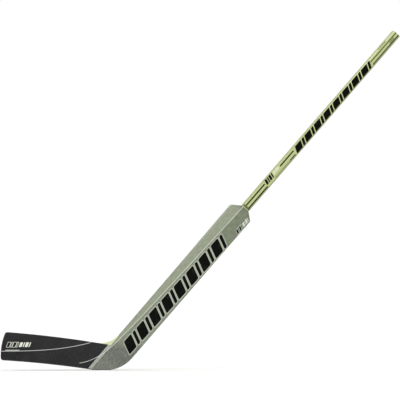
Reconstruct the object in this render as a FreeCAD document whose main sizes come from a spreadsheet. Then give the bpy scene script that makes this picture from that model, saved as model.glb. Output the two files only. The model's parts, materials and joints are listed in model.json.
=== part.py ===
"""Goaltender's ice hockey stick: shaft, paddle, heel and blade, glued up from wood, foam and fibreglass.

Row frame, in millimetres: the stick stands on the flat of its heel, and the origin is on that
flat. +Z is up, the shaft leans towards +X, the toe of the blade points to -X, and the front face
looks towards -Y.

Three more frames carry the sketches. Each lies in the XZ plane and is turned about Y:
  shaft  x runs up the shaft's centre line from the floor, z points to the toe side
  joint  x runs up the toe edge of the paddle, which is also the glue line of the blade
  blade  x runs along the foot of the blade towards the heel, z points to the blade's top edge
"""

import FreeCAD
import Part
import Sketcher
import math
import os

# Driving dimensions: name, value in millimetres or degrees, meaning.
DIMENSIONS = [
    ("shaft_angle", 48.6, "shaft against the floor, degrees"),
    ("shaft_foot_x", 16.5, "where the shaft's centre line meets the floor"),
    ("shaft_length", 1437.5, "floor to butt end along the centre line"),
    ("shaft_width", 28.5, "wide face of the shaft"),
    ("shaft_edge_radius", 3.5, "rounding of the grip's long edges and butt"),
    ("core_thickness", 17.0, "shaft core, foam cores, rails and heel block"),
    ("veneer_thickness", 2.4, "wood veneer on each wide face of the shaft"),
    ("lamina_thickness", 0.6, "clear fibreglass over each veneer"),
    ("skin_thickness", 1.2, "woven fibreglass skin of paddle and blade"),
    ("nose_radius", 13.0, "rounded end of the shaft's plies at the paddle"),
    ("core_foot", 150.0, "lower end of the shaft core, top of the heel block"),
    ("shoulder_foot", 667.0, "where the paddle starts to narrow"),
    ("shoulder_length", 20.5, "length over which it narrows to the shaft"),
    ("shoulder_block_length", 55.0, "wood above the foam cores"),
    ("toe_side_foot", 39.2, "centre line to the paddle's toe edge, at the floor"),
    ("toe_side_top", 42.9, "centre line to the paddle's toe edge, at the shoulder"),
    ("heel_side", 39.5, "centre line to the paddle's heel edge"),
    ("toe_corner_radius", 9.0, "shoulder corner on the toe side"),
    ("heel_corner_radius", 6.0, "shoulder corner on the heel side"),
    ("rail_width", 9.0, "wood rail along each edge of the paddle"),
    ("edge_radius", 2.2, "rounding of the paddle's and the blade's edges"),
    ("heel_radius", 111.0, "outer curve of the heel"),
    ("sole_to_toe", 20.2, "flat of the heel, from the origin towards the toe"),
    ("joint_foot_height", 2.4, "height of the glue line's lower end"),
    ("wear_plate_thickness", 2.0, "plate under the heel"),
    ("blade_angle", 5.94, "foot of the blade against the floor, degrees"),
    ("blade_length", 291.0, "glue line's lower end to the toe's lower corner"),
    ("blade_heel_height", 84.3, "blade height at the glue line"),
    ("blade_toe_height", 91.1, "blade height at the toe"),
    ("toe_rake", 6.1, "upper toe corner set back from the lower one"),
    ("blade_edge_radius", 3500.0, "slow curve of the blade's top and foot"),
    ("toe_radius", 180.0, "curve of the toe's end"),
    ("toe_round", 9.0, "rounding of the toe's two corners"),
    ("toe_thickness", 9.0, "blade thickness at the toe"),
    ("toe_offset", 10.0, "how far the blade curves forwards at the toe"),
    ("skin_overlap", 7.5, "paddle skin that laps over the glue line"),
    ("sole_strip_height", 2.5, "hard strip along the blade's foot"),
    ("lower_plank_top", 31.0, "seam between lower and middle plank"),
    ("middle_plank_top", 60.0, "seam between middle and upper plank"),
    ("tenon_thickness", 8.0, "tenon of the middle plank"),
    ("tenon_length", 40.0, "how far the tenon enters the heel block"),
    ("tenon_shoulder", 3.0, "middle plank's seams to the tenon's sides"),
    ("wedge_run", 38.0, "crotch wedge along the blade"),
    ("wedge_rise", 40.0, "crotch wedge along the paddle"),
    ("wedge_radius", 84.0, "hollow curve of the crotch wedge"),
    ("wedge_tip", 0.6, "blunt tip of the wedge on the blade"),
    ("wedge_setback", 1.2, "wedge's faces behind the paddle's faces"),
    ("reach", 60.0, "how far the cutting shapes run past the stick"),
]

doc = FreeCAD.newDocument("GoalStick")
sheet = doc.addObject("Spreadsheet::Sheet", "Dims")
for row, (alias, number, meaning) in enumerate(DIMENSIONS, start=1):
    sheet.set(f"A{row}", meaning)
    sheet.set(f"B{row}", str(number))
    sheet.setAlias(f"B{row}", alias)
doc.recompute()

# Shared expressions. Every one is built from the sheet's cells.
A = "(Dims.shaft_angle * 1 deg)"
TAPER = "atan((Dims.toe_side_top - Dims.toe_side_foot) / Dims.shoulder_foot)"
JOINT_ANGLE = f"({A} + {TAPER})"
BLADE_ANGLE = "(Dims.blade_angle * 1 deg)"
SHAFT_HALF = "(Dims.shaft_width / 2)"
SHOULDER_END = "(Dims.shoulder_foot + Dims.shoulder_length)"
CORE_HALF = "(Dims.core_thickness / 2)"
SKIN_HALF = "(Dims.core_thickness / 2 + Dims.skin_thickness)"
SHAFT_FACE = "(Dims.core_thickness / 2 + Dims.veneer_thickness + Dims.lamina_thickness)"

# The toe edge of the paddle starts at height toe_side_foot in the shaft frame.
EDGE_START_X = f"(Dims.shaft_foot_x - Dims.toe_side_foot * sin({A}))"
EDGE_START_Z = f"(Dims.toe_side_foot * cos({A}))"
GLUE_START = f"((Dims.joint_foot_height - {EDGE_START_Z}) / sin({JOINT_ANGLE}))"
GLUE_LENGTH = f"(Dims.blade_heel_height / sin({JOINT_ANGLE} + {BLADE_ANGLE}))"
GLUE_END = f"({GLUE_START} + {GLUE_LENGTH})"
GLUE_FOOT_X = f"({EDGE_START_X} + {GLUE_START} * cos({JOINT_ANGLE}))"

# The heel's outer curve is tangent to the floor and to the paddle's heel edge.
HEEL_POINT_X = f"(Dims.shaft_foot_x + Dims.heel_side / sin({A}))"
HEEL_TANGENT = f"(Dims.heel_radius * tan({A} / 2))"
HEEL_CUT = f"({HEEL_TANGENT} + Dims.reach / 4)"


def size(expression):
    """Value of an expression on the sheet's cells, as a plain number."""
    result = sheet.evalExpression(expression)
    return float(getattr(result, "Value", result))


def turned(x, z, angle):
    """Frame at (x, z) whose x axis rises at the given angle in the XZ plane."""
    spin = FreeCAD.Rotation(FreeCAD.Vector(0, 1, 0), -angle)
    return FreeCAD.Placement(FreeCAD.Vector(x, 0, z), spin)


ROW = turned(0, 0, 0)
SHAFT = turned(size("Dims.shaft_foot_x"), 0, size("Dims.shaft_angle"))
JOINT = turned(size(EDGE_START_X), size(EDGE_START_Z), size(JOINT_ANGLE))
BLADE = turned(size(GLUE_FOOT_X), size("Dims.joint_foot_height"), -size("Dims.blade_angle"))


def arc_between(start, end, radius, side):
    """Short arc from start to end. Its centre is on the given side of the line between them."""
    half = (end - start) * 0.5
    across = FreeCAD.Vector(-half.y, half.x, 0)
    across.normalize()
    offset = math.sqrt(radius**2 - half.Length**2)
    centre = start + half + across * (offset if side == "left" else -offset)
    first, last = (start, end) if side == "left" else (end, start)
    angles = [math.atan2(point.y - centre.y, point.x - centre.x) for point in (first, last)]
    if angles[1] < angles[0]:
        angles[1] += 2 * math.pi
    circle = Part.Circle(centre, FreeCAD.Vector(0, 0, 1), radius)
    return Part.ArcOfCircle(circle, angles[0], angles[1])


def draw(body, plane_role, corners):
    """Closed sketch through the corners, each held by expressions.

    A corner is (x, y), or (x, y, radius, side) where the edge that leaves it is an arc.
    """
    sketch = body.newObject("Sketcher::SketchObject", body.Name + "Sketch")
    plane = [feature for feature in body.Origin.OriginFeatures if feature.Role == plane_role][0]
    sketch.AttachmentSupport = [(plane, "")]
    sketch.MapMode = "FlatFace"
    points = [FreeCAD.Vector(size(corner[0]), size(corner[1]), 0) for corner in corners]
    ends = []
    for number, corner in enumerate(corners):
        start = points[number]
        end = points[(number + 1) % len(points)]
        if len(corner) == 2:
            edge = sketch.addGeometry(Part.LineSegment(start, end))
            ends.append((edge, 1, 2))
        else:
            edge = sketch.addGeometry(arc_between(start, end, size(corner[2]), corner[3]))
            ends.append((edge, 1, 2) if corner[3] == "left" else (edge, 2, 1))
            held = sketch.addConstraint(Sketcher.Constraint("Radius", edge, size(corner[2])))
            sketch.setExpression(f"Constraints[{held}]", corner[2])
    for number, corner in enumerate(corners):
        edge, start_end, _ = ends[number]
        before, _, last_end = ends[number - 1]
        sketch.addConstraint(Sketcher.Constraint("Coincident", before, last_end, edge, start_end))
        for kind, expression in (("DistanceX", corner[0]), ("DistanceY", corner[1])):
            rule = Sketcher.Constraint(kind, edge, start_end, size(expression))
            held = sketch.addConstraint(rule)
            sketch.setExpression(f"Constraints[{held}]", expression)
    return sketch


def prism(name, frame, plane_role, corners, thickness):
    """Body padded from a closed sketch, the same distance to each side of the sketch's plane."""
    body = doc.addObject("PartDesign::Body", name)
    pad = body.newObject("PartDesign::Pad", name + "Pad")
    pad.Profile = draw(body, plane_role, corners)
    pad.SideType = "Symmetric"
    pad.setExpression("Length", thickness)
    body.Placement = frame
    doc.recompute()
    return body


def rounded(body, radius, chosen):
    """Fillet on the body's edges that the test chooses. Edges are tested in the body's own frame."""
    base = body.Tip
    names = [f"Edge{n}" for n, edge in enumerate(base.Shape.Edges, start=1) if chosen(edge)]
    fillet = body.newObject("PartDesign::Fillet", body.Name + "Round")
    fillet.Base = (base, names)
    fillet.setExpression("Radius", radius)
    body.Tip = fillet
    doc.recompute()
    return body


def crosses(edge, x, z):
    """True for a front-to-rear edge at (x, z)."""
    box = edge.BoundBox
    return box.YLength > 1 and math.hypot(box.XMin - x, box.ZMin - z) < 0.01 > box.XLength


def on_faces(edge, half):
    """True for an edge that lies in the front or the rear face."""
    box = edge.BoundBox
    return box.YLength < 0.01 and abs(abs(box.YMin) - half) < 0.01


def zone(frame, x_from, x_to, z_from, z_to, y_from=None, y_to=None):
    """Box in a frame, used to divide the stick into its pieces."""
    y_from = y_from or "-Dims.reach"
    y_to = y_to or "Dims.reach"
    box = doc.addObject("Part::Box", "Zone")
    box.setExpression("Length", f"{x_to} - ({x_from})")
    box.setExpression("Width", f"{y_to} - ({y_from})")
    box.setExpression("Height", f"{z_to} - ({z_from})")
    corner = FreeCAD.Vector(size(x_from), size(y_from), size(z_from))
    box.Placement = frame.multiply(FreeCAD.Placement(corner, FreeCAD.Rotation()))
    return box


def combine(kind, first, *others):
    """Boolean of two or more shapes, one after the other."""
    for other in others:
        result = doc.addObject(kind, kind.split("::")[1])
        result.Base = first
        result.Tool = other
        result.Refine = True
        first = result
    return first


def common(*shapes):
    return combine("Part::Common", *shapes)


def fuse(*shapes):
    return combine("Part::Fuse", *shapes)


def cut(*shapes):
    return combine("Part::Cut", *shapes)


pieces = []


def piece(label, shape):
    """Names a finished sub-part. The label is its node and its file."""
    shape.Label = label
    pieces.append(shape)
    return shape


# ---------------------------------------------------------------- shaft
# Seen from the side, the plies end at the paddle in a rounded nose that rises out of the skin.
NOSE_RISE = f"({SHAFT_FACE} - {SKIN_HALF})"
NOSE_LENGTH = f"sqrt(2 * Dims.nose_radius * {NOSE_RISE} - {NOSE_RISE}^2)"
NOSE_END = f"({SHOULDER_END} + {NOSE_LENGTH})"
shaft_rod = prism(
    "ShaftRod",
    SHAFT,
    "XY_Plane",
    [
        (SHOULDER_END, SKIN_HALF),
        (SHOULDER_END, f"-{SKIN_HALF}", "Dims.nose_radius", "left"),
        (NOSE_END, f"-{SHAFT_FACE}"),
        ("Dims.shaft_length", f"-{SHAFT_FACE}"),
        ("Dims.shaft_length", SHAFT_FACE),
        (NOSE_END, SHAFT_FACE, "Dims.nose_radius", "left"),
    ],
    "Dims.shaft_width",
)
rounded(
    shaft_rod,
    "Dims.shaft_edge_radius",
    lambda edge: edge.BoundBox.ZLength < 0.01 and edge.BoundBox.XMax > size(SHOULDER_END) + 1,
)

FAR_LEFT = "-(Dims.blade_length + Dims.reach * 2)"
FAR_RIGHT = "(Dims.shaft_length + Dims.reach)"
FAR_DOWN = "-(Dims.shaft_length + Dims.reach)"


def layer(y_from, y_to):
    """Everything between two depths, front to rear."""
    return zone(ROW, FAR_LEFT, FAR_RIGHT, "-Dims.reach", FAR_RIGHT, y_from, y_to)


core_layer = layer(f"-{CORE_HALF}", CORE_HALF)
VENEER_FACE = f"({CORE_HALF} + Dims.veneer_thickness)"
core_below = zone(
    SHAFT, "Dims.core_foot", SHOULDER_END, f"-{SHAFT_HALF}", SHAFT_HALF, f"-{CORE_HALF}", CORE_HALF
)
piece("shaft_core", fuse(common(shaft_rod, core_layer), core_below))
piece("shaft_front_veneer", common(shaft_rod, layer(f"-{VENEER_FACE}", f"-{CORE_HALF}")))
piece("shaft_rear_veneer", common(shaft_rod, layer(CORE_HALF, VENEER_FACE)))
piece("shaft_front_lamina", common(shaft_rod, layer("-Dims.reach", f"-{VENEER_FACE}")))
piece("shaft_rear_lamina", common(shaft_rod, layer(VENEER_FACE, "Dims.reach")))

# ---------------------------------------------------------------- paddle and heel envelope
# The upper body is drawn in the shaft frame and the heel body in the row frame. They share a
# slanted end face, from the crotch to just above the heel's curve.
CROTCH_X = f"({GLUE_END} * cos({TAPER}))"
CROTCH_Z = f"(Dims.toe_side_foot + {GLUE_END} * sin({TAPER}))"
HEEL_EDGE_X = f"(Dims.heel_side / tan({A}) + {HEEL_CUT})"
paddle_body = prism(
    "PaddleBody",
    SHAFT,
    "XZ_Plane",
    [
        (CROTCH_X, CROTCH_Z),
        (HEEL_EDGE_X, "-Dims.heel_side"),
        ("Dims.shoulder_foot", "-Dims.heel_side"),
        (SHOULDER_END, f"-{SHAFT_HALF}"),
        (SHOULDER_END, SHAFT_HALF),
        ("Dims.shoulder_foot", "Dims.toe_side_top"),
    ],
    f"2 * {SKIN_HALF}",
)
shoulder_x = size("Dims.shoulder_foot")
toe_corner = size("Dims.toe_side_top")
heel_corner = -size("Dims.heel_side")
rounded(paddle_body, "Dims.toe_corner_radius", lambda edge: crosses(edge, shoulder_x, toe_corner))
rounded(paddle_body, "Dims.heel_corner_radius", lambda edge: crosses(edge, shoulder_x, heel_corner))


def is_paddle_rim(edge):
    """Rim edges of both faces, but not those of the slanted end or the shaft's end."""
    box = edge.BoundBox
    at_shaft = box.XMin > size(SHOULDER_END) - 0.01
    at_cut = box.ZLength > size("Dims.heel_side") * 1.5
    return on_faces(edge, size(SKIN_HALF)) and not at_shaft and not at_cut


rounded(paddle_body, "Dims.edge_radius", is_paddle_rim)

heel_body = prism(
    "HeelBody",
    ROW,
    "XZ_Plane",
    [
        (GLUE_FOOT_X, "Dims.joint_foot_height"),
        ("-Dims.sole_to_toe", "0"),
        (f"{HEEL_POINT_X} - {HEEL_TANGENT}", "0", "Dims.heel_radius", "left"),
        (f"{HEEL_POINT_X} + {HEEL_TANGENT} * cos({A})", f"{HEEL_TANGENT} * sin({A})"),
        (f"{HEEL_POINT_X} + {HEEL_CUT} * cos({A})", f"{HEEL_CUT} * sin({A})"),
        (
            f"{GLUE_FOOT_X} + {GLUE_LENGTH} * cos({JOINT_ANGLE})",
            f"Dims.joint_foot_height + {GLUE_LENGTH} * sin({JOINT_ANGLE})",
        ),
    ],
    f"2 * {SKIN_HALF}",
)


def is_heel_rim(edge):
    """Rim edges of both faces along the sole, the heel's curve and the heel edge."""
    middle = edge.valueAt((edge.FirstParameter + edge.LastParameter) / 2)
    inside = middle.z > size(f"{HEEL_CUT} * sin({A})")
    at_joint = middle.x < -size("Dims.sole_to_toe") and edge.Length > size("Dims.blade_heel_height")
    at_joint = at_joint or abs(edge.Length - size(GLUE_LENGTH)) < 0.01
    return on_faces(edge, size(SKIN_HALF)) and not inside and not at_joint


rounded(heel_body, "Dims.edge_radius", is_heel_rim)
envelope = fuse(paddle_body, heel_body)

# ---------------------------------------------------------------- blade envelope
# The face outline and the plan outline are both padded, and the blade is what they share.
CROTCH_RUN = f"(Dims.blade_heel_height / tan({JOINT_ANGLE} + {BLADE_ANGLE}))"

# The top edge is straight near the paddle, then bends into a slow curve that ends at the toe.
TOP_RUN = "(Dims.blade_length - Dims.toe_rake)"
TOP_BEND = f"({TOP_RUN}^2 / (2 * Dims.blade_edge_radius))"
TOP_GAIN = "(Dims.blade_toe_height - Dims.blade_heel_height)"
TOP_SLOPE = f"atan(({TOP_GAIN} + {TOP_BEND}) / ({TOP_RUN} + {CROTCH_RUN}))"
TOP_START = f"(Dims.blade_heel_height + {CROTCH_RUN} * tan({TOP_SLOPE}))"
TOP_RISE = f"(Dims.blade_toe_height - {TOP_START})"
TOP_REACH = f"({TOP_RUN} * cos({TOP_SLOPE}) + {TOP_RISE} * sin({TOP_SLOPE}))"
TOP_FALL = f"({TOP_RUN} * sin({TOP_SLOPE}) - {TOP_RISE} * cos({TOP_SLOPE}))"
TOP_RADIUS = f"(({TOP_REACH}^2 + {TOP_FALL}^2) / (2 * {TOP_FALL}))"

# Top and foot run on past the glue line, where the blade is cut off after its edges are rounded.
PAST = "(Dims.reach / 3)"
FOOT_DROP = f"({PAST} * (Dims.blade_length + {PAST}) / (2 * Dims.blade_edge_radius))"
blade_face = prism(
    "BladeFace",
    BLADE,
    "XZ_Plane",
    [
        (PAST, f"-{FOOT_DROP}"),
        (f"{CROTCH_RUN} + {PAST}", f"Dims.blade_heel_height - {PAST} * tan({TOP_SLOPE})"),
        ("0", TOP_START, TOP_RADIUS, "left"),
        (f"-{TOP_RUN}", "Dims.blade_toe_height", "Dims.toe_radius", "left"),
        ("-Dims.blade_length", "0", "Dims.blade_edge_radius", "right"),
    ],
    "2 * Dims.reach",
)
toe_x = -size("Dims.blade_length")
upper_toe = (toe_x + size("Dims.toe_rake"), size("Dims.blade_toe_height"))
rounded(
    blade_face,
    "Dims.toe_round",
    lambda edge: crosses(edge, toe_x, 0) or crosses(edge, *upper_toe),
)


PLAN_LENGTH = "(Dims.blade_length + Dims.toe_round)"


def bow_radius(shift):
    """Radius of an arc that leaves a straight line and is off it by shift at the toe."""
    return f"(({PLAN_LENGTH}^2 + ({shift})^2) / (2 * ({shift})))"


def plan(name, front_inset, rear_inset):
    """Plan outline of the blade, drawn in by an inset on each face. A negative one runs past it."""
    front_toe = "(Dims.toe_offset + Dims.toe_thickness / 2)"
    rear_toe = "(Dims.toe_thickness / 2 - Dims.toe_offset)"
    front_bow = bow_radius(f"{front_toe} - {SKIN_HALF}")
    rear_bow = bow_radius(f"{SKIN_HALF} - {rear_toe}")
    corners = [
        (f"{CROTCH_RUN} + Dims.reach", f"{front_inset} - {SKIN_HALF}"),
        (f"{CROTCH_RUN} + Dims.reach", f"{SKIN_HALF} - ({rear_inset})"),
        ("0", f"{SKIN_HALF} - ({rear_inset})", rear_bow, "left"),
        (f"-{PLAN_LENGTH}", f"{rear_toe} - ({rear_inset})"),
        (f"-{PLAN_LENGTH}", f"{front_inset} - {front_toe}", front_bow, "right"),
        ("0", f"{front_inset} - {SKIN_HALF}"),
    ]
    return prism(name, BLADE, "XY_Plane", corners, "4 * Dims.blade_toe_height")


blade_square = common(blade_face, plan("BladePlan", "0", "0"))
doc.recompute()


def is_blade_rim(edge):
    """Rim edges of the blade's two faces, but not those of its heel end."""
    halfway = (edge.FirstParameter + edge.LastParameter) / 2
    middle = BLADE.inverse().multVec(edge.valueAt(halfway))
    crosswise = abs(edge.tangentAt(halfway).y) > 0.7
    within = size("Dims.toe_round") < middle.z < size("Dims.blade_heel_height - Dims.toe_round")
    return not crosswise and not (within and middle.x > -0.01)


blade_rounded = doc.addObject("Part::Fillet", "BladeRounded")
blade_rounded.Base = blade_square
rim = [n for n, edge in enumerate(blade_square.Shape.Edges, start=1) if is_blade_rim(edge)]
blade_rounded.Edges = [(n, size("Dims.edge_radius"), size("Dims.edge_radius")) for n in rim]
heel_side_zone = zone(JOINT, f"-{FAR_RIGHT}", FAR_RIGHT, FAR_DOWN, "0")
blade = cut(blade_rounded, heel_side_zone)
doc.recompute()

# ---------------------------------------------------------------- heel
wear_zone = zone(ROW, FAR_LEFT, FAR_RIGHT, "-Dims.reach", "Dims.wear_plate_thickness")
piece("heel_wear_plate", common(envelope, wear_zone))
above_plate = cut(envelope, wear_zone)
inside = common(above_plate, core_layer)

# The tenon starts inside the middle plank and runs across the glue line into the heel block.
LEAN = f"tan({JOINT_ANGLE} + {BLADE_ANGLE})"
tenon = zone(
    BLADE,
    f"Dims.lower_plank_top / {LEAN}",
    f"Dims.middle_plank_top / {LEAN} + Dims.tenon_length",
    "Dims.lower_plank_top + Dims.tenon_shoulder",
    "Dims.middle_plank_top - Dims.tenon_shoulder",
    "-Dims.tenon_thickness / 2",
    "Dims.tenon_thickness / 2",
)
heel_zone = zone(SHAFT, f"-{FAR_RIGHT}", "Dims.core_foot", FAR_DOWN, FAR_RIGHT)
piece("heel_block", cut(common(inside, heel_zone), tenon))

# The wedge's foot and side are drawn a little into the blade, which then trims them.
TIP_RISE = f"(Dims.wedge_run * tan({TOP_SLOPE}))"
TIP_X = f"({CROTCH_RUN} - Dims.wedge_run)"
SIDE_COS = f"cos({JOINT_ANGLE} + {BLADE_ANGLE})"
SIDE_SIN = f"sin({JOINT_ANGLE} + {BLADE_ANGLE})"
wedge_prism = prism(
    "WedgePrism",
    BLADE,
    "XZ_Plane",
    [
        (
            f"{CROTCH_RUN} - Dims.wedge_tip * 10 * {SIDE_COS}",
            f"Dims.blade_heel_height - Dims.wedge_tip * 10 * {SIDE_SIN}",
        ),
        (
            f"{CROTCH_RUN} + Dims.wedge_rise * {SIDE_COS}",
            f"Dims.blade_heel_height + Dims.wedge_rise * {SIDE_SIN}",
            "Dims.wedge_radius",
            "right",
        ),
        (TIP_X, f"Dims.blade_heel_height + {TIP_RISE} + Dims.wedge_tip"),
        (TIP_X, "Dims.blade_heel_height - Dims.wedge_tip * 10"),
    ],
    f"2 * ({SKIN_HALF} - Dims.wedge_setback)",
)
piece("crotch_wedge", cut(wedge_prism, blade))

# ---------------------------------------------------------------- paddle
BLOCK_FOOT = f"({SHOULDER_END} - Dims.shoulder_block_length)"
RAIL_INNER = "(Dims.heel_side - Dims.rail_width)"
along_cores = zone(SHAFT, "Dims.core_foot", BLOCK_FOOT, FAR_DOWN, FAR_RIGHT)
toe_rail_zone = zone(JOINT, f"-{FAR_RIGHT}", FAR_RIGHT, "-Dims.rail_width", "Dims.reach")
toe_half = zone(SHAFT, "Dims.core_foot", BLOCK_FOOT, SHAFT_HALF, FAR_RIGHT)
piece("toe_edge_rail", common(inside, along_cores, toe_rail_zone))
piece("toe_foam_core", cut(common(inside, toe_half), toe_rail_zone))
heel_rail_zone = zone(SHAFT, "Dims.core_foot", BLOCK_FOOT, FAR_DOWN, f"-{RAIL_INNER}")
heel_foam_zone = zone(SHAFT, "Dims.core_foot", BLOCK_FOOT, f"-{RAIL_INNER}", f"-{SHAFT_HALF}")
piece("heel_edge_rail", common(inside, heel_rail_zone))
piece("heel_foam_core", common(inside, heel_foam_zone))
toe_block_zone = zone(SHAFT, BLOCK_FOOT, FAR_RIGHT, SHAFT_HALF, FAR_RIGHT)
heel_block_zone = zone(SHAFT, BLOCK_FOOT, FAR_RIGHT, FAR_DOWN, f"-{SHAFT_HALF}")
piece("toe_shoulder_block", common(inside, toe_block_zone))
piece("heel_shoulder_block", common(inside, heel_block_zone))

# ---------------------------------------------------------------- blade
# The hard strip follows the slow curve of the blade's foot.
strip_zone = prism(
    "StripZone",
    BLADE,
    "XZ_Plane",
    [
        (f"-{PLAN_LENGTH}", "-Dims.reach"),
        ("Dims.reach", "-Dims.reach"),
        ("Dims.reach", "Dims.sole_strip_height"),
        ("0", "Dims.sole_strip_height", "Dims.blade_edge_radius", "left"),
        ("-Dims.blade_length", "Dims.sole_strip_height"),
        (f"-{PLAN_LENGTH}", "Dims.sole_strip_height"),
    ],
    "2 * Dims.reach",
)
piece("blade_sole_strip", common(blade, strip_zone))
above_strip = cut(blade, strip_zone)
behind_front_skin = plan("BehindFrontSkin", "Dims.skin_thickness", "-Dims.reach")
before_rear_skin = plan("BeforeRearSkin", "-Dims.reach", "Dims.skin_thickness")
blade_core = common(above_strip, behind_front_skin, before_rear_skin)


def plank(z_from, z_to):
    """Part of the blade's core between two seams."""
    return common(blade_core, zone(BLADE, FAR_LEFT, FAR_RIGHT, z_from, z_to))


piece("blade_lower_plank", plank("-Dims.reach", "Dims.lower_plank_top"))
middle_plank = plank("Dims.lower_plank_top", "Dims.middle_plank_top")
piece("blade_middle_plank", fuse(middle_plank, tenon))
piece("blade_upper_plank", plank("Dims.middle_plank_top", "2 * Dims.blade_toe_height"))

# The paddle's skins lap over the glue line, and the blade's skins stop at their edge.
lap_zone = zone(JOINT, f"-{FAR_RIGHT}", FAR_RIGHT, "-Dims.reach", "Dims.skin_overlap")
for side, keep, layer_ends in (
    ("front", behind_front_skin, ("-Dims.reach", f"-{CORE_HALF}")),
    ("rear", before_rear_skin, (CORE_HALF, "Dims.reach")),
):
    blade_side = cut(above_strip, keep)
    lap = common(blade_side, lap_zone)
    piece(f"paddle_{side}_skin", fuse(common(above_plate, layer(*layer_ends)), lap))
    piece(f"blade_{side}_skin", cut(blade_side, lap_zone))

# ---------------------------------------------------------------- check and write
doc.recompute()
failed = [thing.Name for thing in doc.Objects if {"Invalid", "Error"} & set(thing.State)]
if failed:
    raise SystemExit(f"objects that failed to recompute: {failed}")
for node in pieces:
    shape = node.Shape
    if shape.isNull() or not shape.isValid() or len(shape.Solids) != 1:
        raise SystemExit(f"{node.Label} is not one valid solid")

os.makedirs("parts", exist_ok=True)
for node in pieces:
    node.Shape.exportStep(f"parts/{node.Label}.step")
    print(f"{node.Label:22s} {node.Shape.Volume / 1000:8.2f} cm3")
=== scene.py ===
# %% [markdown]
# # A goaltender's ice hockey stick
# The stick is glued up from wood, foam and fibreglass cloth. Its solids come from the CAD frame
# and already have the right shape and size, so this notebook gives each of them its finish:
# wood with a grain, painted fibreglass with its weave and printed stripes, black cloth on the
# blade, and hard plastic under the heel. At the end come the floor, the lights and the camera.

# %% Load the frame
import json
import math

import bpy
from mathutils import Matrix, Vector

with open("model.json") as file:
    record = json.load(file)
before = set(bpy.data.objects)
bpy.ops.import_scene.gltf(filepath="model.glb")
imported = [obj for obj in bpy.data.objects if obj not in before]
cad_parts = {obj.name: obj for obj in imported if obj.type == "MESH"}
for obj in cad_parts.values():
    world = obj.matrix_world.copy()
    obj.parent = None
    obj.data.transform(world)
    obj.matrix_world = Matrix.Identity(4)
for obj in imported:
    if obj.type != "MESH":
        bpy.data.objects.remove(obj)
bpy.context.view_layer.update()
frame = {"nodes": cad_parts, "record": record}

nodes = frame["nodes"]

# %% [markdown]
# ## The bench
# A material in Blender is a tree of small nodes. Placing each one by hand takes many lines, so
# first comes a bench: a helper that adds a node, puts plain numbers straight on its sockets and
# draws a wire where it is handed another node's output. Colours are written the way a paint
# chart gives them, from 0 to 255, and turned into the linear values that light works with.

# %% Colours and the bench
def linear(level):
    """Paint-chart level, 0 to 255, as a linear value."""
    share = level / 255
    return share / 12.92 if share <= 0.04045 else ((share + 0.055) / 1.055) ** 2.4


def paint(red, green, blue):
    return (linear(red), linear(green), linear(blue), 1.0)


class Bench:
    """Adds nodes to one tree. A number goes on the socket, and an output is wired to it."""

    def __init__(self, tree):
        self.tree = tree

    def wire(self, value, socket):
        if isinstance(value, bpy.types.NodeSocket):
            self.tree.links.new(value, socket)
        elif value is not None:
            socket.default_value = value

    def node(self, kind, *values, **settings):
        made = self.tree.nodes.new(kind)
        row, column = divmod(len(self.tree.nodes), 10)
        made.location = (column * 190, -row * 230)
        for name, setting in settings.items():
            setattr(made, name, setting)
        for value, socket in zip(values, made.inputs):
            self.wire(value, socket)
        return made

    def math(self, operation, *values):
        return self.node("ShaderNodeMath", *values, operation=operation).outputs[0]

    def total(self, first, *others):
        for other in others:
            first = self.math("ADD", first, other)
        return first

    def product(self, first, *others):
        for other in others:
            first = self.math("MULTIPLY", first, other)
        return first

    def most(self, first, *others):
        for other in others:
            first = self.math("MAXIMUM", first, other)
        return first

    def ramp(self, value, low, high, at_low=0.0, at_high=1.0):
        """Rises smoothly from at_low to at_high while the value goes from low to high."""
        kind = "ShaderNodeMapRange"
        made = self.node(kind, value, low, high, at_low, at_high, interpolation_type="SMOOTHSTEP")
        return made.outputs[0]

    def blend(self, share, below, above):
        """Lays one colour over another."""
        kind = "ShaderNodeMix"
        made = self.node(kind, share, *[None] * 5, below, above, data_type="RGBA")
        return made.outputs[2]

    def point(self, x, y, z):
        return self.node("ShaderNodeCombineXYZ", x, y, z).outputs[0]

    def along(self, position, direction):
        """How far a position lies along a direction."""
        kind = "ShaderNodeVectorMath"
        return self.node(kind, position, direction, operation="DOT_PRODUCT").outputs["Value"]

    def noise(self, position, scale, detail=2.0, roughness=0.5):
        kind = "ShaderNodeTexNoise"
        return self.node(kind, position, None, scale, detail, roughness).outputs[0]

    def use(self, group, **values):
        """Places a shared group. Its inputs are given by name, with _ for each blank."""
        made = self.node("ShaderNodeGroup", node_tree=group)
        for name, value in values.items():
            self.wire(value, made.inputs[name.replace("_", " ")])
        return made.outputs


def new_group(name, takes, gives):
    """Empty group with number sockets. A name that starts with a star is a vector."""
    tree = bpy.data.node_groups.new(name, "ShaderNodeTree")
    for labels, side in ((takes, "INPUT"), (gives, "OUTPUT")):
        for label in labels:
            kind = "NodeSocketVector" if label.startswith("*") else "NodeSocketFloat"
            tree.interface.new_socket(label.strip("*"), in_out=side, socket_type=kind)
    bench = Bench(tree)
    return bench, bench.node("NodeGroupInput").outputs, bench.node("NodeGroupOutput").inputs


print("bench ready")

# %% [markdown]
# ## Rulers along the stick
# The stripes and the grain follow the shaft, which leans, and the blade, which is tilted a
# little the other way. A tilted ruler is two dot products: one gives the distance along the
# piece and one the distance across it. Both come out in millimetres, so every width below can
# be read as a size on the real stick.

# %% Tilted rulers
MM = 1000.0
SHAFT_ANGLE = 48.6
SHAFT_FOOT = (16.5, 0.0)
BLADE_ANGLE = -5.94
BLADE_FOOT = (-33.4, 2.4)


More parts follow.
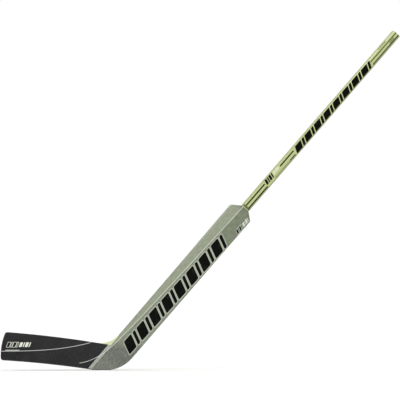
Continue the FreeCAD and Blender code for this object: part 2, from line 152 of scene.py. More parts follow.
def make_ruler(name, angle, foot):
    """Along and across, in millimetres from the foot, in a frame turned in the XZ plane."""
    bench, given, result = new_group(name, ["*Position"], ["Along", "Across", "Depth"])
    cos, sin = math.cos(math.radians(angle)), math.sin(math.radians(angle))
    for label, (x, z) in (("Along", (cos, sin)), ("Across", (-sin, cos))):
        reach = bench.along(given["Position"], (x * MM, 0, z * MM))
        shifted = bench.math("SUBTRACT", reach, foot[0] * x + foot[1] * z)
        bench.wire(shifted, result[label])
    bench.wire(bench.along(given["Position"], (0, MM, 0)), result["Depth"])
    return bench.tree


shaft_ruler = make_ruler("shaft_ruler", SHAFT_ANGLE, SHAFT_FOOT)
blade_ruler = make_ruler("blade_ruler", BLADE_ANGLE, BLADE_FOOT)
print("rulers:", shaft_ruler.name, blade_ruler.name)

# %% [markdown]
# ## Printed shapes
# Everything printed on the stick is a stripe or a row of slanted bars. A stripe is a value kept
# between two limits, with a soft edge as thin as the ink's. Real sticks carry large lettering
# here. This one has plain slanted bars in its place, a wide one and a thin one by turns, which
# mean nothing and keep the same rhythm of dark and pale. Each bar is a box with rounded corners,
# drawn by its distance field: the distance from a point to the box. Ink lies where the distance
# is below zero, and the outline is the same row grown by its width and printed first.

# %% A stripe and a row of slanted bars
bench, given, result = new_group("stripe", ["Value", "Low", "High", "Soft"], ["Mask"])
edges = []
for limit, sign in (("Low", 1), ("High", -1)):
    inside = bench.math("SUBTRACT", given["Value"], given[limit])
    inside = bench.math("DIVIDE", bench.product(inside, sign), given["Soft"])
    edges.append(bench.ramp(inside, -1.0, 1.0))
bench.wire(bench.product(*edges), result["Mask"])
stripe = bench.tree

bench, given, result = new_group(
    "slanted_bars",
    [
        "Along", "Across", "Start", "Count", "Half height", "Lean",
        "Pitch", "Wide", "Gap", "Round", "Grow",
    ],
    ["Mask"],
)
INK_EDGE = 0.35
slanted = bench.math("SUBTRACT", given["Along"], bench.product(given["Across"], given["Lean"]))
half_gap = bench.product(given["Gap"], 0.5)
from_start = bench.total(bench.math("SUBTRACT", slanted, given["Start"]), half_gap)
cell = bench.math("FLOOR", bench.math("DIVIDE", from_start, given["Pitch"]))
cell = bench.math("MINIMUM", bench.most(cell, 0.0), bench.math("SUBTRACT", given["Count"], 1.0))
in_cell = bench.math("SUBTRACT", from_start, bench.product(cell, given["Pitch"]))
in_cell = bench.math("SUBTRACT", in_cell, half_gap)
thin_start = bench.total(given["Wide"], given["Gap"])
thin_end = bench.math("SUBTRACT", given["Pitch"], given["Gap"])
thin = bench.math("SUBTRACT", thin_end, thin_start)
above = bench.math("SUBTRACT", bench.math("ABSOLUTE", given["Across"]), given["Half height"])
above = bench.total(above, given["Round"])
gaps = []
for first, wide in ((0.0, given["Wide"]), (thin_start, thin)):
    half = bench.product(wide, 0.5)
    off = bench.math("SUBTRACT", bench.math("SUBTRACT", in_cell, first), half)
    beside = bench.total(bench.math("SUBTRACT", bench.math("ABSOLUTE", off), half), given["Round"])
    outside = bench.point(bench.most(beside, 0.0), bench.most(above, 0.0), 0.0)
    length = bench.node("ShaderNodeVectorMath", outside, operation="LENGTH").outputs["Value"]
    inside = bench.math("MINIMUM", bench.most(beside, above), 0.0)
    gaps.append(bench.math("SUBTRACT", bench.total(length, inside), given["Round"]))
nearest = bench.math("SUBTRACT", bench.math("MINIMUM", *gaps), given["Grow"])
bench.wire(bench.ramp(nearest, -INK_EDGE, INK_EDGE, 1.0, 0.0), result["Mask"])
slanted_bars = bench.tree
print("printed shapes:", stripe.name, slanted_bars.name)

# %% [markdown]
# ## Cloth and wood
# The paddle and the blade are wrapped in woven glass cloth, and the resin over it lets the
# threads show as a fine grid. Two rows of rounded threads, one along and one across, pass over
# and under each other: where the product of two sines is positive one thread is on top, and
# where it is negative the other is. Wood is noise drawn out along the fibres, with a slow wave
# for the growth rings and short dark pores.

# %% Woven cloth
bench, given, result = new_group("woven_cloth", ["Along", "Across", "Thread"], ["Height", "Tone"])
turns = [bench.product(given[way], math.pi) for way in ("Along", "Across")]
turns = [bench.math("DIVIDE", turn, given["Thread"]) for turn in turns]
ridges = [bench.math("ABSOLUTE", bench.math("SINE", turn)) for turn in turns]
over = bench.product(*[bench.math("SINE", turn) for turn in turns])
on_top = bench.ramp(over, -0.25, 0.25)
lifted = bench.product(ridges[0], on_top)
crossing = bench.product(ridges[1], bench.math("SUBTRACT", 1.0, on_top))
cloth_height = bench.total(lifted, crossing)
bench.wire(cloth_height, result["Height"])
spread = bench.point(given["Along"], given["Across"], 0.0)
uneven = bench.noise(spread, 0.35, 2.0, 0.6)
tone = bench.total(bench.product(cloth_height, 0.55), bench.product(uneven, 0.45))
bench.wire(tone, result["Tone"])
woven_cloth = bench.tree

# %% Wood grain
bench, given, result = new_group(
    "wood_grain", ["Along", "Across", "Depth"], ["Grain", "Pores"]
)
fibres = bench.point(bench.product(given["Along"], 0.012), given["Across"], given["Depth"])
streaks = bench.noise(fibres, 0.9, 5.0, 0.62)
rings = bench.point(bench.product(given["Along"], 0.004), given["Across"], given["Depth"])
slow = bench.noise(rings, 0.22, 2.0, 0.4)
bench.wire(bench.total(bench.product(streaks, 0.65), bench.product(slow, 0.35)), result["Grain"])
short = bench.point(bench.product(given["Along"], 0.06), given["Across"], given["Depth"])
bench.wire(bench.ramp(bench.noise(short, 2.4, 3.0, 0.7), 0.58, 0.74), result["Pores"])
wood_grain = bench.tree

# %% [markdown]
# ## Wear
# A stick gets rubbed where it is round and scratched where it meets the ice. The rubbing is
# found from the normal: a face that looks to the front or the rear is flat, and one that turns
# away is an edge. Noise breaks it up, so only some of the edge is bare. Scratches are long thin
# noise, kept above a high limit so that only a few are left.

# %% Rubbed edges and scratches
bench, given, result = new_group("rubbed_edge", ["*Normal", "*Position", "Amount"], ["Mask"])
facing = bench.math("ABSOLUTE", bench.along(given["Normal"], (0.0, 1.0, 0.0)))
turned = bench.ramp(facing, 0.55, 0.97, 1.0, 0.0)
patches = bench.noise(given["Position"], 55.0, 5.0, 0.65)
limit = bench.math("SUBTRACT", 0.78, bench.product(given["Amount"], 0.4))
rubbed = bench.ramp(bench.math("SUBTRACT", patches, limit), 0.0, 0.08)
bench.wire(bench.product(turned, rubbed), result["Mask"])
rubbed_edge = bench.tree

bench, given, result = new_group("scratches", ["Along", "Across", "Amount"], ["Mask"])
marks = []
for lean, size in ((0.35, 0.9), (-0.2, 1.3)):
    tilted = bench.total(given["Across"], bench.product(given["Along"], lean))
    drawn = bench.point(bench.product(given["Along"], 0.03), tilted, size)
    marks.append(bench.ramp(bench.noise(drawn, size, 3.0, 0.55), 0.66, 0.74))
place = bench.noise(bench.point(given["Along"], given["Across"], 5.0), 0.03, 2.0)
scratched = bench.product(bench.most(*marks), bench.ramp(place, 0.4, 0.6), given["Amount"])
bench.wire(scratched, result["Mask"])
scratches = bench.tree
print("surfaces:", woven_cloth.name, wood_grain.name, rubbed_edge.name, scratches.name)

# %% [markdown]
# ## Starting a material
# Each finish starts the same way: a Principled shader, the object's own coordinates and one of
# the rulers. Numbers that are the same all over the piece go straight on the shader.

# %% Start a finish
finishes = {}


def start(slot, ruler, **numbers):
    """New material for a slot. Returns its bench, shader, position, normal and ruler."""
    material = bpy.data.materials.new(slot)
    material.use_nodes = True
    bench = Bench(material.node_tree)
    shader = material.node_tree.nodes["Principled BSDF"]
    for name, number in numbers.items():
        shader.inputs[name.replace("_", " ")].default_value = number
    place = bench.node("ShaderNodeTexCoord")
    position, normal = place.outputs["Object"], place.outputs["Normal"]
    measured = bench.use(ruler, Position=position)
    finishes[slot] = material
    return bench, shader, position, normal, measured


def raise_surface(bench, shader, height, distance, strength=1.0):
    """Bump in metres from a height of 0 to 1."""
    bump = bench.node("ShaderNodeBump")
    bump.inputs["Strength"].default_value = strength
    bump.inputs["Distance"].default_value = distance
    bench.wire(height, bump.inputs["Height"])
    bench.wire(bump.outputs["Normal"], shader.inputs["Normal"])


print("ready to start a finish")

# %% [markdown]
# ## The paddle's painted cloth
# The paddle is painted a green grey, with a paler band down its toe side and a white line
# between the two. The white line is nearly straight up the paddle and bends away towards the
# blade at its foot, so it is a parabola with an exponential added. Places are in millimetres on
# the shaft's ruler. A pair of them is where a tone starts to change and where it has changed.

# %% Paddle colours and the dividing line
FACE_GREEN, FACE_PALE = paint(111, 120, 99), paint(127, 134, 117)
BAND_GREEN = paint(148, 156, 135)
HEEL_GREY, HEEL_DARK = paint(116, 119, 111), paint(96, 99, 93)
PADDLE_TOP_SHADE = paint(96, 102, 78)
RIM_PALE, RIM_DARK = paint(202, 208, 188), paint(70, 74, 64)
SILVER = paint(170, 173, 166)
GLUE_DARK = paint(70, 76, 56)
LINE_WHITE = paint(226, 230, 216)
OUTLINE = paint(182, 188, 172)
BLACK_INK = paint(8, 10, 7)

LINE_START, LINE_MIDDLE = 163.0, 412.0
LINE_HEIGHT, LINE_SLOPE, LINE_BOW = 27.5, -0.03855, 0.0000144
BEND_START, BEND_HEIGHT, BEND_LENGTH = 66.5, 4.2, 52.0


def divider(bench, along):
    """Height across the shaft at which the white line lies."""
    past_start = bench.math("SUBTRACT", along, LINE_START)
    past_middle = bench.math("SUBTRACT", along, LINE_MIDDLE)
    bow = bench.product(past_start, past_middle, LINE_BOW)
    slope = bench.product(past_start, LINE_SLOPE)
    past_bend = bench.math("SUBTRACT", along, BEND_START)
    fading = bench.math("EXPONENT", bench.product(past_bend, -1 / BEND_LENGTH))
    return bench.total(slope, bow, bench.product(fading, BEND_HEIGHT), LINE_HEIGHT)


print("the white line bends below", BEND_START + BEND_LENGTH, "mm")

# %% Paddle face, band and heel
FACE_DARKENS, HEEL_DARKENS, PADDLE_TOP_SHADE_SPAN = (440.0, 600.0), (12.0, 52.0), (664.0, 690.0)
HEEL_ENDS, HEEL_LEAN, HEEL_WANDERS = (100.0, 126.0), 0.7, 22.0
PALE_RIM_FROM, PALE_RIM_GROWS = (40.0, 42.0), (270.0, 460.0)

bench, shader, position, normal, ruler = start(
    "paddle_glass", shaft_ruler, Coat_Roughness=0.25, Specular_IOR_Level=0.05
)
along, across = ruler["Along"], ruler["Across"]
off_line = bench.math("SUBTRACT", across, divider(bench, along))
face = bench.blend(bench.ramp(along, *FACE_DARKENS), FACE_PALE, FACE_GREEN)
colour = bench.blend(bench.ramp(off_line, -0.6, 0.6), face, BAND_GREEN)

mottle = bench.noise(position, 38.0, 4.0, 0.6)
heel_edge = bench.total(along, bench.product(across, HEEL_LEAN))
heel_edge = bench.total(heel_edge, bench.product(mottle, HEEL_WANDERS))
heel_tone = bench.blend(bench.ramp(along, *HEEL_DARKENS), HEEL_GREY, HEEL_DARK)
colour = bench.blend(bench.ramp(heel_edge, *HEEL_ENDS, 1.0, 0.0), colour, heel_tone)
# Painted shade: the paddle's top turns olive just below the shaft's foot, where shade falls at the
# joint.
colour = bench.blend(bench.ramp(along, *PADDLE_TOP_SHADE_SPAN, 0.0, 0.75), colour, PADDLE_TOP_SHADE)
pale_rim = bench.product(bench.ramp(across, *PALE_RIM_FROM), bench.ramp(along, *PALE_RIM_GROWS))
colour = bench.blend(bench.product(pale_rim, 0.9), colour, RIM_PALE)
print("paddle ground painted")

# %% [markdown]
# ## The lap, the glue line and the white line
# At the heel the paddle's skin laps over the end of the blade. A silver band with a thin white
# border on each side covers that lap, up to the crotch. Further up, the bare wedge meets the
# paddle and leaves a dark line of glue. The dividing line is printed last, over all of them.

# %% Lap, glue line and white line
LAP_HEIGHT, LAP_SLOPE, LAP_BORDERS, BORDER_HALF = 39.2, 0.0055, (-0.4, 6.9), 0.6
CROTCH, WEDGE_START, WEDGE_END = (73.0, 77.0), 76.0, 112.0
WHITE_HALF = 0.95
HEEL_RIM = (-39.0, -37.6)

lap = bench.math("SUBTRACT", across, bench.total(bench.product(along, LAP_SLOPE), LAP_HEIGHT))
below_crotch = bench.ramp(along, *CROTCH, 1.0, 0.0)
colour = bench.blend(bench.product(bench.ramp(lap, -0.8, -0.2), below_crotch), colour, SILVER)
for border in LAP_BORDERS:
    sides = dict(Low=border - BORDER_HALF, High=border + BORDER_HALF)
    edge = bench.use(stripe, Value=lap, Soft=0.2, **sides)["Mask"]
    colour = bench.blend(bench.product(edge, below_crotch), colour, LINE_WHITE)
beside_wedge = bench.use(stripe, Value=along, Low=WEDGE_START, High=WEDGE_END, Soft=2.0)["Mask"]
glue = bench.product(bench.ramp(lap, -1.6, -0.6), beside_wedge)
colour = bench.blend(bench.product(glue, 0.7), colour, GLUE_DARK)
white = bench.use(stripe, Value=off_line, Low=-WHITE_HALF, High=WHITE_HALF, Soft=0.3)["Mask"]
colour = bench.blend(white, colour, LINE_WHITE)
colour = bench.blend(bench.ramp(across, *HEEL_RIM, 0.55, 0.0), colour, RIM_DARK)
print("lap and lines painted")

# %% [markdown]
# ## The paddle's weave
# The paint lies between the threads darker than on them, and the resin under it took more paint
# in some places than in others. That shows as streaks along the shaft, most of all at the heel,
# where they are grey instead of green.

# %% Paddle weave
PADDLE_THREAD = 3.0
cloth = bench.use(woven_cloth, Along=along, Across=across, Thread=PADDLE_THREAD)
between = bench.ramp(cloth["Height"], 0.15, 0.75, 0.45, 0.0)
colour = bench.blend(between, colour, paint(70, 75, 64))
on_threads = bench.ramp(cloth["Tone"], 0.3, 0.75, 0.0, 0.14)
colour = bench.blend(on_threads, colour, paint(200, 206, 186))

streaks = bench.noise(bench.point(bench.product(along, 0.3), across, 0.0), 0.24, 3.0, 0.7)
heel_share = bench.ramp(heel_edge, 90.0, 150.0, 1.0, 0.0)
strength = bench.ramp(heel_share, 0.0, 1.0, 0.2, 0.3)
wet_tone = bench.blend(heel_share, paint(78, 84, 70), paint(70, 71, 68))
dry_tone = bench.blend(heel_share, paint(178, 184, 164), paint(172, 174, 169))
wet_streaks = bench.product(bench.ramp(streaks, 0.35, 0.6, 1.0, 0.0), strength)
colour = bench.blend(wet_streaks, colour, wet_tone)
dry_streaks = bench.product(bench.ramp(streaks, 0.45, 0.7), strength)
colour = bench.blend(bench.product(dry_streaks, 0.8), colour, dry_tone)
print("paddle weave: threads", PADDLE_THREAD, "mm wide")

# %% [markdown]
# ## The paddle's bars
# The large bars run up the middle of the green face, on a line that drifts slowly to the heel
# side. Each has a pale outline. Near the shoulder is a small mark, two black and two pale pairs.

# %% Paddle bars
BARS_DRIFT, BARS_MIDDLE = -0.02244, -2.74
MARK_MIDDLE, MARK_BLACK, MARK_PALE = -29.4, 612.0, 642.0
OUTLINE_WIDTH = 2.2
BARS = dict(
    Start=97.0, Count=8.0, Half_height=21.2, Lean=0.437, Pitch=59.4, Wide=35.0, Gap=6.2, Round=4.5
)
PADDLE_MARK = dict(Half_height=6.2, Lean=0.437, Pitch=13.6, Wide=6.8, Gap=2.0, Round=1.2)

middle = bench.total(bench.product(along, BARS_DRIFT), BARS_MIDDLE)
print_on = dict(Along=along, Across=bench.math("SUBTRACT", across, middle))
outline = bench.use(slanted_bars, Grow=OUTLINE_WIDTH, **BARS, **print_on)["Mask"]
ink = bench.use(slanted_bars, Grow=0.0, **BARS, **print_on)["Mask"]
colour = bench.blend(outline, colour, OUTLINE)
colour = bench.blend(ink, colour, BLACK_INK)
print_on = dict(Along=along, Across=bench.math("SUBTRACT", across, MARK_MIDDLE))
for first, grow, shade in (
    (MARK_BLACK, 1.4, OUTLINE),
    (MARK_BLACK, 0.0, BLACK_INK),
    (MARK_PALE, 1.0, paint(76, 81, 70)),
    (MARK_PALE, 0.0, paint(204, 208, 194)),
):
    sizes = dict(Start=first, Count=2.0, Grow=grow, **PADDLE_MARK)
    mark = bench.use(slanted_bars, **sizes, **print_on)["Mask"]
    colour = bench.blend(mark, colour, shade)
print("paddle bars:", 2 * int(BARS["Count"]))

# %% Paddle wear and gloss
PADDLE_COAT = 0.15
scuffed = bench.use(scratches, Along=along, Across=across, Amount=0.35)["Mask"]
colour = bench.blend(scuffed, colour, paint(176, 180, 168))
bare = bench.use(rubbed_edge, Normal=normal, Position=position, Amount=0.35)["Mask"]
colour = bench.blend(bare, colour, paint(188, 192, 160))
bench.wire(colour, shader.inputs["Base Color"])
rough = bench.ramp(cloth["Tone"], 0.0, 1.0, 0.52, 0.36)
rough = bench.total(rough, bench.product(scuffed, 0.2))
bench.wire(rough, shader.inputs["Roughness"])
coat = bench.math("MULTIPLY_ADD", ink, -PADDLE_COAT, PADDLE_COAT)
bench.wire(coat, shader.inputs["Coat Weight"])
raise_surface(bench, shader, cloth["Height"], 0.00008)
print("paddle paint done")

# %% [markdown]
# ## The blade's black cloth
# The blade is wrapped in the same kind of cloth with finer threads, painted a satin black that
# is darkest at the toe. Two thin grey lines sweep over it. The upper one starts nearly level at
# the toe and rises ever faster to the top edge, as a cubic does. The lower one carries on the
# paddle's white line, and is a parabola.

# %% Blade paint
BLADE_BLACK, TOE_BLACK = paint(24, 24, 25), paint(8, 8, 9)
SWEEP_GREY = paint(198, 200, 198)
bench, shader, position, normal, ruler = start(
    "blade_glass", blade_ruler, Coat_Weight=0.03, Coat_Roughness=0.35, Specular_IOR_Level=0.16
)
along, across = ruler["Along"], ruler["Across"]
toe_edge = bench.total(along, bench.product(across, 0.8))
toe_share = bench.ramp(toe_edge, -250.0, -130.0, 1.0, 0.0)
dark_cloth = bench.blend(toe_share, BLADE_BLACK, TOE_BLACK)
mottle = bench.noise(position, 30.0, 4.0, 0.6)
colour = bench.blend(bench.ramp(mottle, 0.3, 0.7, 0.0, 0.6), dark_cloth, paint(38, 38, 39))
specks = bench.noise(bench.point(along, across, 0.0), 0.2, 3.0, 0.65)
colour = bench.blend(bench.ramp(specks, 0.45, 0.7, 0.0, 0.3), colour, paint(66, 66, 66))

# %% Blade sweeps
TOE = -292.6
UPPER_HEIGHT, UPPER_SLOPE, UPPER_CURL = 28.8, 0.108, 11.2e-7
LOWER_HEIGHT, LOWER_SLOPE, LOWER_CURL, LOWER_TURN = 30.4, 0.46, 0.0042, -8.6

from_toe = bench.math("SUBTRACT", along, TOE)
curl = bench.product(from_toe, from_toe, from_toe, UPPER_CURL)
upper = bench.total(bench.product(from_toe, UPPER_SLOPE), curl, UPPER_HEIGHT)
from_turn = bench.math("SUBTRACT", along, LOWER_TURN)
curl = bench.product(from_turn, from_turn, LOWER_CURL)
lower = bench.total(bench.product(along, LOWER_SLOPE), curl, LOWER_HEIGHT)
for height, first, last, half in ((upper, -300.0, -8.0, 0.9), (lower, -37.0, 60.0, 1.0)):
    off = bench.math("SUBTRACT", across, height)
    sweep = bench.use(stripe, Value=off, Low=-half, High=half, Soft=0.3)["Mask"]
    length = bench.use(stripe, Value=along, Low=first, High=last, Soft=4.0)["Mask"]
    colour = bench.blend(bench.product(sweep, length), colour, SWEEP_GREY)
print("blade sweeps painted")

# %% [markdown]
# ## The blade's mark
# Near the toe is a small mark, here again plain bars: a hollow group, a filled group and a line
# under the first. It stands upright on the level stick, so it is measured along X and Z.

# %% Blade mark
MARK_HEIGHT, HOLLOW_START, FILLED_START = 82.0, -303.0, -263.0
BLADE_MARK = dict(Half_height=7.5, Lean=0.4, Pitch=19.0, Wide=9.0, Gap=3.2, Round=1.6)

level = bench.along(position, (MM, 0.0, 0.0))
up = bench.math("SUBTRACT", bench.along(position, (0.0, 0.0, MM)), MARK_HEIGHT)
print_on = dict(Along=level, Across=up)
for first, grow, shade in (
    (HOLLOW_START, 1.3, LINE_WHITE),
    (HOLLOW_START, 0.0, BLACK_INK),
    (FILLED_START, 0.0, LINE_WHITE),
):
    sizes = dict(Start=first, Count=2.0, Grow=grow, **BLADE_MARK)
    mark = bench.use(slanted_bars, **sizes, **print_on)["Mask"]
    colour = bench.blend(mark, colour, shade)
under = bench.use(stripe, Value=up, Low=-18.6, High=-16.8, Soft=0.25)["Mask"]
length = bench.use(stripe, Value=level, Low=-310.0, High=-264.0, Soft=0.6)["Mask"]
colour = bench.blend(bench.product(under, length), colour, LINE_WHITE)
print("blade mark printed")

# %% [markdown]
# ## The blade's weave and wear
# Here the weave is laid over the printing, because the threads stand out grey where they are
# rubbed. The lower edge meets the ice, so it has most of the scratches.

# %% Blade weave and wear
BLADE_THREAD = 2.2
ICE_WEAR = (4.0, 34.0)
cloth = bench.use(woven_cloth, Along=along, Across=across, Thread=BLADE_THREAD)
on_threads = bench.ramp(cloth["Height"], 0.15, 0.85, 0.0, 0.12)
colour = bench.blend(on_threads, colour, paint(76, 76, 76))
low_down = bench.ramp(across, *ICE_WEAR, 0.6, 0.1)
scuffed = bench.use(scratches, Along=along, Across=across, Amount=low_down)["Mask"]
colour = bench.blend(scuffed, colour, paint(112, 112, 110))
bare = bench.use(rubbed_edge, Normal=normal, Position=position, Amount=0.3)["Mask"]
colour = bench.blend(bare, colour, paint(96, 94, 88))
bench.wire(colour, shader.inputs["Base Color"])
rough = bench.ramp(cloth["Tone"], 0.0, 1.0, 0.62, 0.48)
rough = bench.total(rough, bench.product(scuffed, 0.15))
bench.wire(rough, shader.inputs["Roughness"])
raise_surface(bench, shader, cloth["Height"], 0.00007)
print("blade paint done")

# %% [markdown]
# ## Wood
# All the wood is pale and a little green under its varnish. One recipe serves the shaft's core,
# its veneers, the rails, the blocks, the wedge and the planks. What changes is the two colours
# that the grain runs between, the thickness of the plies, whose glue shows as thin lines, and
# the varnish. The shaft's lower edge is painted darker, as painted shade.

# %% Wood recipe
GLUE_WIDTH = 0.35
LOWER_EDGE_SHADE_SPAN = (-12.5, -9.0)


def make_wood(slot, ruler, pale, dark, **ways):
    """Wood with its grain between two colours.

    The ways it may differ: ply, in mm, for lines of glue; varnish; roughness on dark and pale
    grain; worn, the colour of a rubbed edge; held, how much painted shade darkens
    the lower edge; gloss, the specular level.
    """
    bench, shader, position, normal, ruler = start(
        slot, ruler, Coat_Weight=ways.get("varnish", 0.1), Coat_Roughness=0.22,
        Specular_IOR_Level=ways.get("gloss", 0.12),
    )
    along, across, depth = ruler["Along"], ruler["Across"], ruler["Depth"]
    grain = bench.use(wood_grain, Along=along, Across=across, Depth=depth)
    colour = bench.blend(bench.ramp(grain["Grain"], 0.34, 0.66), dark, pale)
    colour = bench.blend(bench.product(grain["Pores"], 0.35), colour, paint(110, 104, 72))
    if "ply" in ways:
        layer = bench.math("PINGPONG", depth, ways["ply"])
        glue = bench.ramp(layer, 0.0, GLUE_WIDTH, 0.6, 0.0)
        colour = bench.blend(glue, colour, paint(112, 108, 74))
    # Painted shade: the shaft's lower edge is darkened towards an olive grey, as if it lay in
    # shade.
    if "held" in ways:
        painted_shade = bench.ramp(across, *LOWER_EDGE_SHADE_SPAN, ways["held"], 0.0)
        colour = bench.blend(painted_shade, colour, paint(122, 127, 96))
    bare = bench.use(rubbed_edge, Normal=normal, Position=position, Amount=0.3)["Mask"]
    worn = ways.get("worn", paint(160, 158, 120))
    colour = bench.blend(bench.product(bare, 0.5), colour, worn)
    bench.wire(colour, shader.inputs["Base Color"])
    rough = bench.ramp(grain["Grain"], 0.3, 0.7, *ways.get("roughness", (0.5, 0.36)))
    bench.wire(rough, shader.inputs["Roughness"])
    raise_surface(bench, shader, grain["Grain"], 0.00015, 0.6)
    return bench, shader, colour, along, across


print("wood recipe ready")

# %% Woods
PLY, RAIL_PLY = 3.4, 8.5
# The core and the veneer take painted shade along the shaft's lower edge.
CORE_WAYS = dict(ply=PLY, varnish=0.15, held=0.7)
WOODS = [
    ("core_wood", paint(194, 201, 150), paint(170, 177, 126), CORE_WAYS),
    ("veneer_wood", paint(188, 195, 146), paint(164, 171, 120), dict(held=0.7)),
    ("rail_wood", paint(150, 158, 132), paint(132, 140, 114), dict(ply=RAIL_PLY)),
    ("block_wood", paint(146, 154, 130), paint(128, 136, 112), dict()),
    ("wedge_wood", paint(216, 223, 182), paint(200, 207, 164), dict(ply=PLY)),
]
for slot, pale, dark, ways in WOODS:
    make_wood(slot, shaft_ruler, pale, dark, **ways)
make_wood(
    "plank_wood", blade_ruler, paint(52, 52, 52), paint(38, 38, 39),
    varnish=0.05, roughness=(0.62, 0.5), worn=paint(120, 108, 80),
)
print("woods:", [slot for slot in finishes if slot.endswith("wood")])

# %% [markdown]
# ## The shaft's clear skin
# A thin layer of clear glass covers the veneer on the two wide faces, so the wood shows through
# it with a soft shine. The upper edge is painted paler towards the butt, a painted highlight.
# Black pinstripes run along the face and stop for a small mark and for the long row of bars.
# The printing sits under the clear layer, so it has no bump of its own. The ink is matt, so the
# gloss stops where it lies.

# %% Clear skin and pinstripes
HIGHLIGHT_EDGE, HIGHLIGHT_END = (7.0, 12.0), (980.0, 1340.0)
STRIPE_HALF, UPPER_STRIPE, LOWER_STRIPE = 2.2, 4.85, -7.6
PINSTRIPES = [
    (UPPER_STRIPE, 696.0, 788.0, 1.0),
    (UPPER_STRIPE, 864.0, 930.0, 1.0),
    (3.6, 1310.0, 1440.0, 0.75),
    (LOWER_STRIPE, 694.0, 789.0, 1.0),
    (LOWER_STRIPE, 825.0, 900.0, 0.4),
    (LOWER_STRIPE, 900.0, 926.0, 0.8),
    (LOWER_STRIPE, 1310.0, 1440.0, 0.85),
]

# The clear skin also takes painted shade along its lower edge.
bench, shader, colour, along, across = make_wood(
    "clear_lamina", shaft_ruler, paint(190, 198, 144), paint(170, 178, 124),
    varnish=0.0, gloss=0.05, roughness=(0.45, 0.34), held=0.85,
)
# Painted highlight: the upper edge is lightened towards the butt.
pale = bench.product(bench.ramp(along, *HIGHLIGHT_END, 0.0, 0.8), bench.ramp(across, *HIGHLIGHT_EDGE))
colour = bench.blend(pale, colour, paint(216, 224, 172))
inked = 0.0
for height, first, last, strength in PINSTRIPES:
    sides = dict(Low=height - STRIPE_HALF, High=height + STRIPE_HALF)
    line = bench.use(stripe, Value=across, Soft=0.35, **sides)["Mask"]
    length = bench.use(stripe, Value=along, Low=first, High=last, Soft=1.0)["Mask"]
    striped = bench.product(line, length, strength)
    colour = bench.blend(striped, colour, paint(12, 15, 4))
    inked = bench.most(striped, inked)
print("pinstripes:", len(PINSTRIPES))

# %% Shaft bars and marks
PALE_INK, FAINT_INK = paint(214, 218, 190), paint(104, 110, 62)
LARGE = dict(
    Start=937.0, Count=8.0, Half_height=10.6, Lean=0.55, Pitch=46.6, Wide=29.0, Gap=3.6, Round=2.6
)
SMALL = dict(
    Start=793.0, Count=2.0, Half_height=8.2, Lean=0.3, Pitch=18.6, Wide=8.6, Gap=2.6, Round=1.2
)
PALE = dict(
    Start=833.0, Count=2.0, Half_height=5.0, Lean=0.3, Pitch=13.6, Wide=6.0, Gap=2.2, Round=1.0
)
STAMP = dict(
    Start=1399.0, Count=3.0, Half_height=3.2, Lean=0.3, Pitch=7.4, Wide=3.4, Gap=1.2, Round=0.5
)
FAINT = dict(
    Start=1358.0, Count=4.0, Half_height=1.8, Lean=0.3, Pitch=9.4, Wide=4.4, Gap=1.4, Round=0.5
)
ROWS = [
    (0.0, LARGE, BLACK_INK),
    (4.6, SMALL, BLACK_INK),
    (6.5, PALE, PALE_INK),
    (-2.6, STAMP, FAINT_INK),
    (11.5, FAINT, FAINT_INK),
]

for middle, sizes, shade in ROWS:
    off_middle = bench.math("SUBTRACT", across, middle)
    print_on = dict(Along=along, Across=off_middle)
    mark = bench.use(slanted_bars, Grow=0.0, **sizes, **print_on)["Mask"]
    colour = bench.blend(mark, colour, shade)
    inked = bench.most(mark, inked)
print("rows of bars on the shaft:", len(ROWS))

# %% Painted shadow at the shaft's foot, and gloss
SHAFT_COAT = 0.15
FOOT_SHADOW_SPAN = (692.0, 700.0)
# Painted shadow: a deep olive band across the shaft's foot, where it rises out of the paddle.
foot = bench.ramp(along, *FOOT_SHADOW_SPAN, 0.95, 0.0)
colour = bench.blend(foot, colour, paint(62, 70, 38))
bench.wire(colour, shader.inputs["Base Color"])
coat = bench.math("MULTIPLY_ADD", inked, -SHAFT_COAT, SHAFT_COAT)
bench.wire(coat, shader.inputs["Coat Weight"])
print("clear skin printed")

# %% [markdown]
# ## Plastic and foam
# The plate under the heel and the strip along the blade's foot are hard black plastic, scraped
# by the ice. The foam cores are sealed inside the paddle. They still get their own finish, a
# pale closed-cell foam, because anyone who opens the model up will look at them.

# %% Wear plastic
bench, shader, position, _, ruler = start("wear_plastic", blade_ruler, Coat_Weight=0.0)
grains = bench.noise(position, 900.0, 3.0, 0.6)
colour = bench.blend(bench.ramp(grains, 0.35, 0.65), paint(40, 41, 41), paint(54, 55, 55))
finer = bench.product(ruler["Across"], 2.0)
scraped = bench.use(scratches, Along=ruler["Along"], Across=finer, Amount=0.8)["Mask"]
colour = bench.blend(scraped, colour, paint(118, 118, 116))
bench.wire(colour, shader.inputs["Base Color"])
rough = bench.total(bench.ramp(grains, 0.0, 1.0, 0.42, 0.62), bench.product(scraped, 0.2))
bench.wire(rough, shader.inputs["Roughness"])
raise_surface(bench, shader, grains, 0.00005)
print("wear plastic done")

# %% Foam
CELLS_PER_METRE = 700.0
bench, shader, position, _, _ = start("foam", shaft_ruler, Specular_IOR_Level=0.2)
bubbles = bench.node(
    "ShaderNodeTexVoronoi", position, None, CELLS_PER_METRE, feature="DISTANCE_TO_EDGE"
)
from_wall = bubbles.outputs[0]
walls = bench.ramp(from_wall, 0.02, 0.2)
colour = bench.blend(walls, paint(206, 200, 172), paint(232, 227, 204))
bench.wire(colour, shader.inputs["Base Color"])
bench.wire(bench.ramp(from_wall, 0.0, 0.4, 0.95, 0.8), shader.inputs["Roughness"])
raise_surface(bench, shader, walls, 0.0002)
print("finishes:", sorted(finishes))

# %% [markdown]
# ## Dress the solids
# The record says which finish each solid takes, so the names in it pick the materials.

# %% Dress the solids
slots = {part["node"]: part["material_slot"] for part in frame["record"]["subparts"]}
for name, solid in nodes.items():
    for material_slot in solid.material_slots:
        material_slot.material = finishes[slots[name]]
    print(f"{name:22s} {slots[name]}")

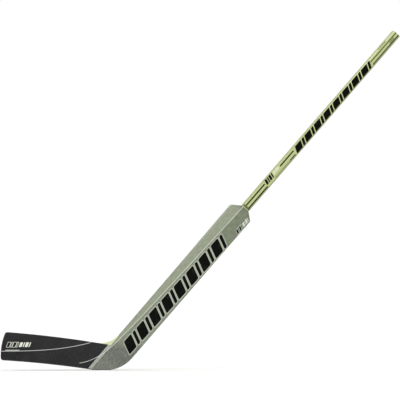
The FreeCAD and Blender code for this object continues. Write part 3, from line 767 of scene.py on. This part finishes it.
# %% [markdown]
# ## Floor, light and camera
# The stick stands on the flat of its heel on a plain pale floor, large enough to fill the view.
# Three distant lamps light it evenly, and the sky adds a soft light from all around, which the
# camera sees as plain white. The camera is far away with a long lens, so the stick hardly
# tapers. It looks level and stands a little to the toe side.

# %% Floor
FLOOR_REACH, FLOOR_SIDES = 240.0, 48
turns = [2 * math.pi * side / FLOOR_SIDES for side in range(FLOOR_SIDES)]
rim = [(FLOOR_REACH * math.cos(turn), FLOOR_REACH * math.sin(turn), 0.0) for turn in turns]
floor_mesh = bpy.data.meshes.new("floor")
floor_mesh.from_pydata(rim, [], [tuple(range(FLOOR_SIDES))])
floor = bpy.data.objects.new("floor", floor_mesh)
bpy.context.scene.collection.objects.link(floor)
material = bpy.data.materials.new("floor_paint")
material.use_nodes = True
bench = Bench(material.node_tree)
shader = material.node_tree.nodes["Principled BSDF"]
shader.inputs["Roughness"].default_value = 0.95
shader.inputs["Specular IOR Level"].default_value = 0.0
place = bench.node("ShaderNodeTexCoord").outputs["Object"]
shade = bench.ramp(bench.noise(place, 0.3, 2.0), 0.3, 0.7)
pale = bench.blend(shade, paint(250, 250, 249), paint(252, 252, 251))
bench.wire(pale, shader.inputs["Base Color"])
floor_mesh.materials.append(material)
print("floor reaches", FLOOR_REACH, "m")

# %% Sky
SKY_LIGHT, SKY_SEEN = 0.29, 1.0
world = bpy.data.worlds.new("studio")
world.use_nodes = True
bench = Bench(world.node_tree)
sky = world.node_tree.nodes["Background"]
sky.inputs["Color"].default_value = (1.0, 1.0, 1.0, 1.0)
seen = bench.node("ShaderNodeLightPath").outputs["Is Camera Ray"]
bench.wire(bench.ramp(seen, 0.0, 1.0, SKY_LIGHT, SKY_SEEN), sky.inputs["Strength"])
bpy.context.scene.world = world
bpy.context.scene.view_settings.view_transform = "Standard"
print("sky lights with strength", SKY_LIGHT)


# %% Lamps
def soft_light(name, side, height, strength, spread):
    """Distant soft light. Side is degrees from the front, towards the butt end."""
    lamp = bpy.data.lights.new(name, "SUN")
    lamp.angle = math.radians(spread)
    lamp.energy = strength * math.pi
    holder = bpy.data.objects.new(name, lamp)
    turn, rise = math.radians(side), math.radians(height)
    level = math.cos(rise)
    towards = Vector((math.sin(turn) * level, -math.cos(turn) * level, math.sin(rise)))
    holder.location = towards * 5.0
    holder.rotation_euler = towards.to_track_quat("Z", "Y").to_euler()
    bpy.context.scene.collection.objects.link(holder)


soft_light("key_light", side=-38.0, height=38.0, strength=0.52, spread=50.0)
soft_light("fill_light", side=46.0, height=30.0, strength=0.28, spread=60.0)
soft_light("back_light", side=165.0, height=42.0, strength=0.5, spread=60.0)
print("lamps:", [lamp.name for lamp in bpy.data.lights])

# %% Camera
AIM = Vector((0.325, 0.0, 0.543))
AWAY, TO_TOE = 30.0, math.radians(11.0)
VIEW_WIDTH, SENSOR_WIDTH = 1.28, 36.0
lens = bpy.data.cameras.new("camera")
lens.sensor_width = SENSOR_WIDTH
lens.lens = SENSOR_WIDTH * AWAY / VIEW_WIDTH
lens.clip_end = 4 * AWAY
camera = bpy.data.objects.new("camera", lens)
offset = Vector((-math.sin(TO_TOE), -math.cos(TO_TOE), 0.0))
camera.location = AIM + offset * AWAY
camera.rotation_euler = (-offset).to_track_quat("-Z", "Y").to_euler()
bpy.context.scene.collection.objects.link(camera)
bpy.context.scene.camera = camera
print("camera at", tuple(round(value, 3) for value in camera.location))

# %% [markdown]
# ## Finish
# The view layer is brought up to date, so every object stands where it was placed.

# %% Finish
bpy.context.view_layer.update()
